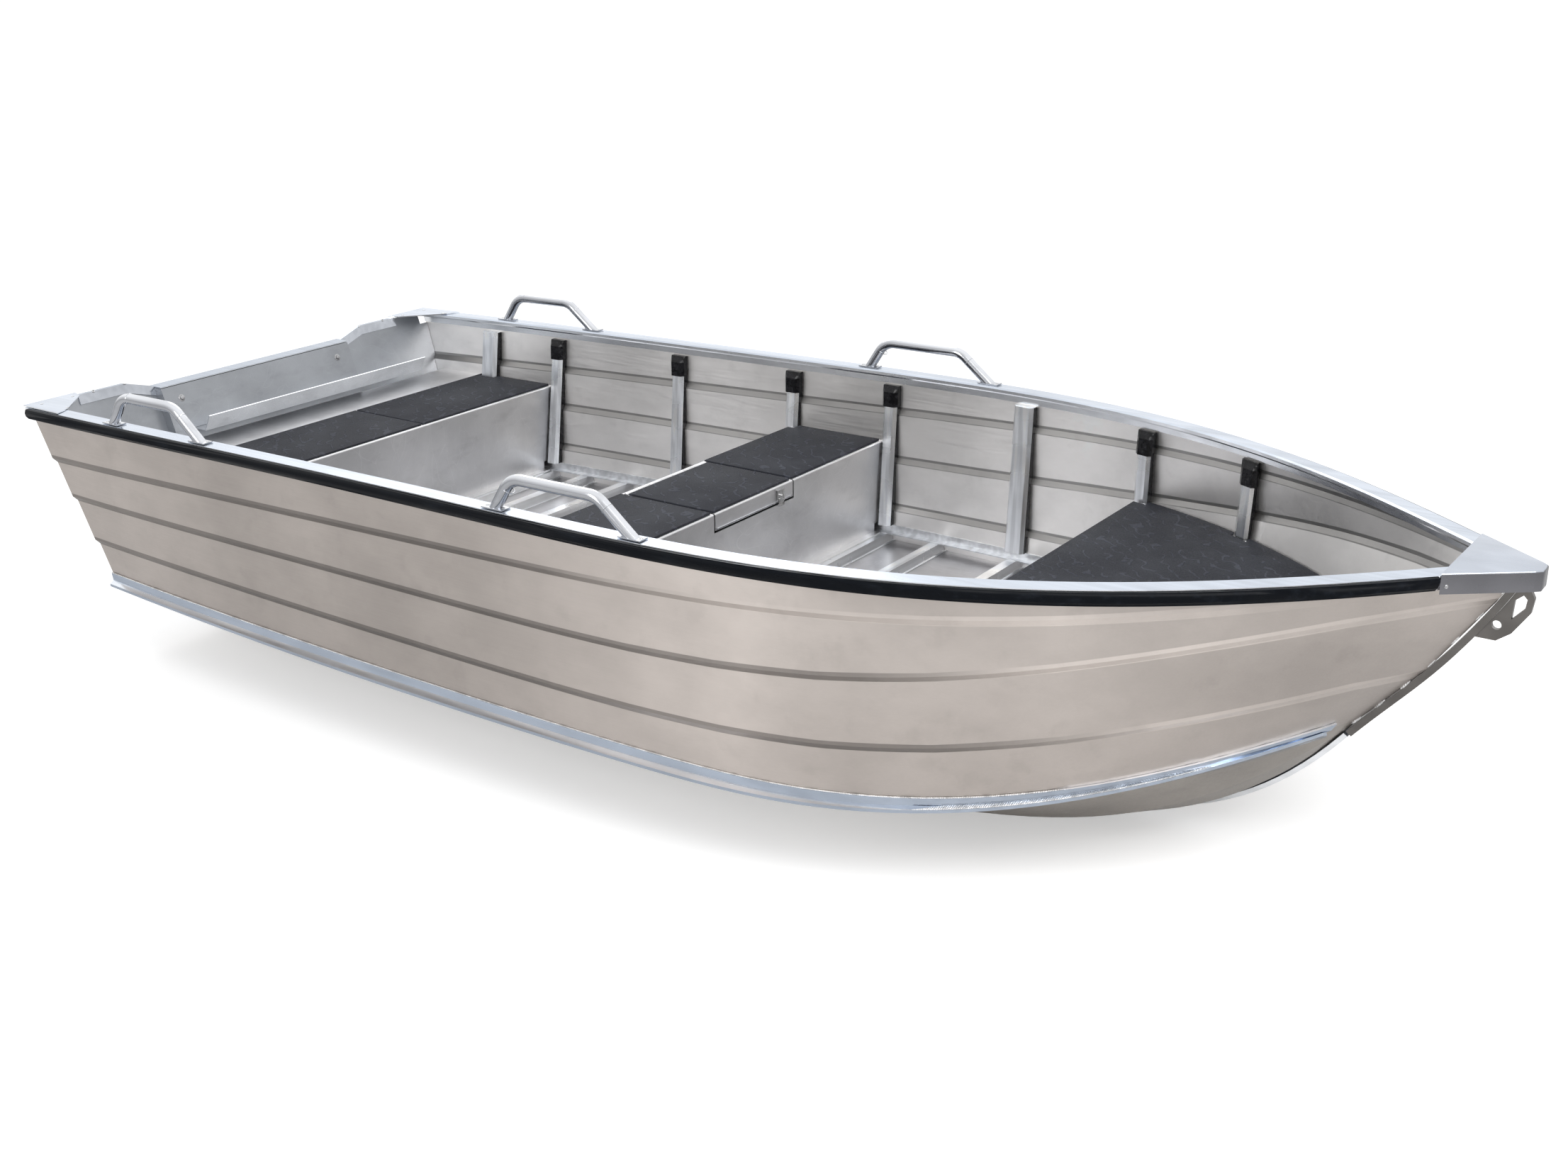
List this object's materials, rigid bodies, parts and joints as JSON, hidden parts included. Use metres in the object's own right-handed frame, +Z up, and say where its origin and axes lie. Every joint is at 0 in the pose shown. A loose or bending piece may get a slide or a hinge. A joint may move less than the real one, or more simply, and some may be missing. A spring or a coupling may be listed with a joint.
{
  "type": "aluminium rowing boat",
  "caption": "Open aluminium boat with stepped pressed sides, thwarts, a hinged seat hatch, a bow platform, grab handles and a black rubber rubbing strake.",
  "frame": {"origin": "on the floor under the keel, half way along the boat on its centre plane", "axes": "+X towards the bow, +Y to port, +Z up"},
  "size_m": [3.874, 1.6932, 0.8379],
  "materials": {
    "side_sheet": "satin",
    "bottom_sheet": "satin",
    "rail_metal": "satin",
    "frame_metal": "satin",
    "handle_tube": "polished",
    "fender_rubber": "matte",
    "cap_plastic": "gloss",
    "seat_mat": "matte"
  },
  "bodies": {
    "hull": {"side_plate_port": "side_sheet", "side_plate_starboard": "side_sheet", "bottom_plate_port": "bottom_sheet", "bottom_plate_starboard": "bottom_sheet", "transom_plate": "bottom_sheet", "gunwale_rail_port": "rail_metal", "gunwale_rail_starboard": "rail_metal", "chine_rail_port": "rail_metal", "chine_rail_starboard": "rail_metal", "keel_bar": "rail_metal", "stem_bar": "rail_metal", "bottom_runners": "rail_metal", "transom_top_rail": "rail_metal", "transom_corner_port": "rail_metal", "transom_corner_starboard": "rail_metal", "bow_eye": "rail_metal", "bow_cap": "rail_metal", "floor_angle_port": "rail_metal", "floor_angle_starboard": "rail_metal", "side_frames_port": "frame_metal", "side_frames_starboard": "frame_metal", "floor_ribs": "frame_metal", "floor_sheet": "frame_metal", "transom_tray": "frame_metal", "engine_pad_outer": "frame_metal", "engine_pad_inner": "frame_metal", "hatch_locker": "frame_metal", "stern_thwart": "frame_metal", "centre_thwart": "frame_metal", "bow_platform": "frame_metal", "aft_handle_port": "handle_tube", "aft_handle_starboard": "handle_tube", "fore_handle_port": "handle_tube", "fore_handle_starboard": "handle_tube", "hatch_hinge": "handle_tube", "drain_fitting": "handle_tube", "fender_strip_port": "fender_rubber", "fender_strip_starboard": "fender_rubber", "frame_caps_port": "cap_plastic", "frame_caps_starboard": "cap_plastic", "stern_thwart_mats": "seat_mat", "centre_thwart_mats": "seat_mat", "bow_platform_mat": "seat_mat"},
    "hatch": {"hatch_lid": "frame_metal", "hatch_mat": "seat_mat", "hatch_latch": "handle_tube"}
  },
  "joints": [
    {"name": "hatch_hinge_turn", "type": "hinge", "parent": "hull", "child": "hatch", "pos_m": [-0.399, 0.14, 0.5275], "axis": [0, -1, 0], "range_deg": [0, 105]}
  ]
}
